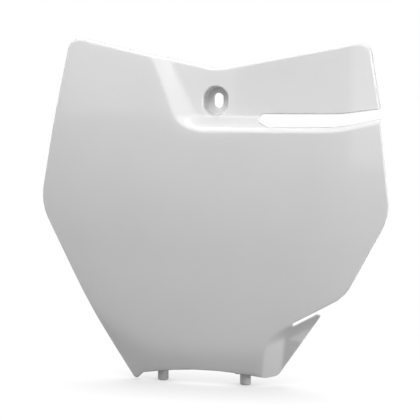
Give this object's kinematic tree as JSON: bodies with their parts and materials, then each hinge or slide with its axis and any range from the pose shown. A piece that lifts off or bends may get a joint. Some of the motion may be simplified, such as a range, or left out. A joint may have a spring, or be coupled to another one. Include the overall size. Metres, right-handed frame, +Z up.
{
  "type": "racing number board",
  "caption": "Curved white moulded number board for the front of a motocross bike, with a recessed screw cup, a wing above a long slot, a folded lower fin and locating pegs.",
  "frame": {"origin": "middle of the screw slot, on the seat that the screw's head rests on", "axes": "-Y the way the board faces and the way the screw comes out, +X to the right as seen from the front, +Z up"},
  "size_m": [0.2457, 0.045, 0.2384],
  "materials": {
    "white_plastic": "glossy moulded polypropylene"
  },
  "bodies": {
    "root": {"number_board": "white_plastic"}
  },
  "joints": []
}
